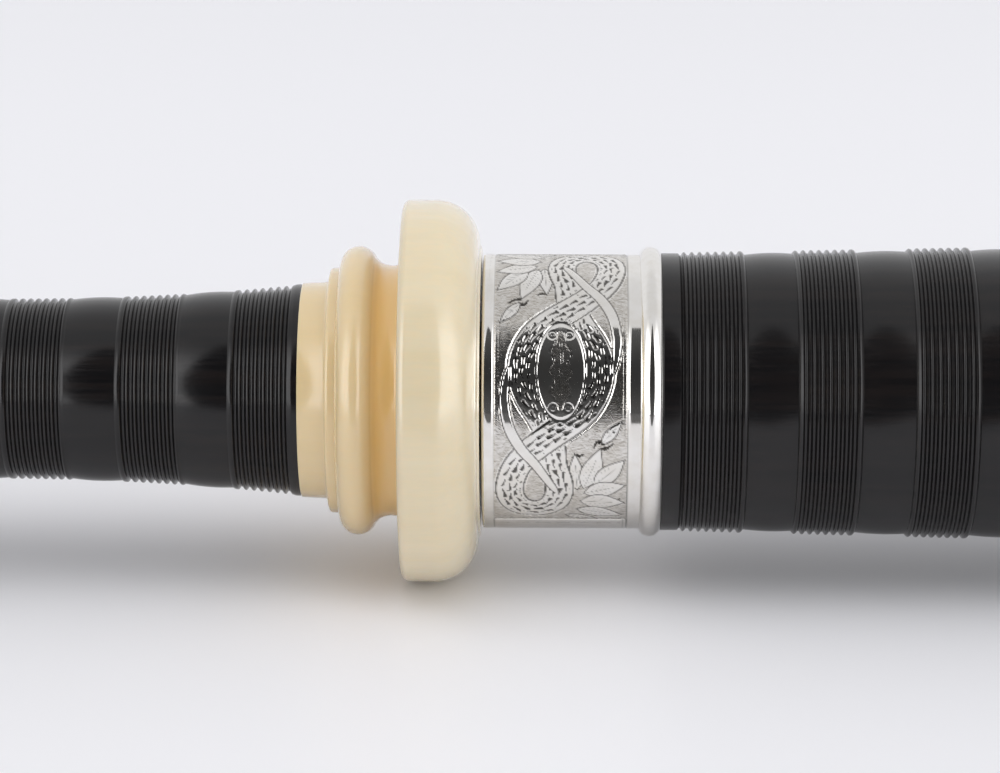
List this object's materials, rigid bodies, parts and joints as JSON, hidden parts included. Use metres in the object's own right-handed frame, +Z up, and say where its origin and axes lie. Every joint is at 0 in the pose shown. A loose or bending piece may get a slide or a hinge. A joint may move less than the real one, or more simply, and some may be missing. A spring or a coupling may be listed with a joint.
{
  "type": "bagpipe tenor drone",
  "caption": "Turned wooden bagpipe drone with combed surface, ivory-like mount, engraved metal ferrules, tuning slide, stock and adjustable reed.",
  "frame": {"origin": "centre of the stock's bag end, on the drone's axis", "axes": "+X along the drone from the bag to the bell; +Z up with the drone lying on its side on its projecting mount"},
  "size_m": [0.4165, 0.044, 0.044],
  "materials": {
    "blackwood": "oiled and polished dense black hardwood",
    "silver": "polished silver, hand engraved",
    "imitation_ivory": "polished cream cast resin",
    "waxed_hemp": "waxed yellow hemp thread, wound",
    "reed_plastic": "moulded, matt",
    "reed_tongue": "cane-coloured composite",
    "binding_thread": "waxed red thread, wound",
    "rubber": "soft, matt",
    "brass": "turned brass"
  },
  "bodies": {
    "stock": {"stock_body": "blackwood", "stock_ferrule_band": "silver", "stock_ferrule_bead": "silver"},
    "tenon_lapping": {"tenon_hemp": "waxed_hemp"},
    "lower_section": {"lower_body": "blackwood", "projecting_mount": "imitation_ivory", "pin_hemp": "waxed_hemp"},
    "bush": {"bell_bush": "imitation_ivory"},
    "top_section": {"top_body": "blackwood", "top_ferrule_band": "silver", "top_ferrule_bead": "silver", "ring_cap": "imitation_ivory"},
    "reed": {"reed_body": "reed_plastic", "tongue_binding": "binding_thread", "reed_seat_hemp": "waxed_hemp"},
    "tongue": {"reed_tongue": "reed_tongue"},
    "bridle": {"reed_bridle": "rubber"},
    "seal": {"screw_seal": "rubber"},
    "screw": {"tuning_screw": "brass"}
  },
  "joints": [
    {"name": "lower_pull", "type": "slide", "parent": "stock", "child": "tenon_lapping", "axis": [1, 0, 0], "range_m": [0, 0.11]},
    {"name": "lower_turn", "type": "hinge", "parent": "tenon_lapping", "child": "lower_section", "pos_m": [0.075, 0, 0], "axis": [1, 0, 0], "continuous": true},
    {"name": "tuning_slide", "type": "slide", "parent": "lower_section", "child": "bush", "axis": [1, 0, 0], "range_m": [0, 0.07]},
    {"name": "top_turn", "type": "hinge", "parent": "bush", "child": "top_section", "pos_m": [0.3, 0, 0], "axis": [1, 0, 0], "continuous": true},
    {"name": "reed_pull", "type": "slide", "parent": "lower_section", "child": "reed", "axis": [-1, 0, 0], "range_m": [0, 0.013]},
    {"name": "tongue_beat", "type": "hinge", "parent": "reed", "child": "tongue", "pos_m": [0.0465, 0, 0.00263], "axis": [0, 1, 0], "range_deg": [-0.3, 0.5], "stiffness_Nm_per_rad": 0.2},
    {"name": "bridle_slide", "type": "slide", "parent": "reed", "child": "bridle", "axis": [1, 0, 0], "range_m": [-0.004, 0.003]},
    {"name": "screw_travel", "type": "slide", "parent": "reed", "child": "seal", "axis": [1, 0, 0], "range_m": [-0.0028, 0.0005]},
    {"name": "screw_turn", "type": "hinge", "parent": "seal", "child": "screw", "pos_m": [0.008, 0, 0], "axis": [1, 0, 0], "range_deg": [-1500, 270]}
  ],
  "couplings": [
    {"joint": "screw_turn", "follows": "screw_travel", "rad_per_m": 8976}
  ]
}
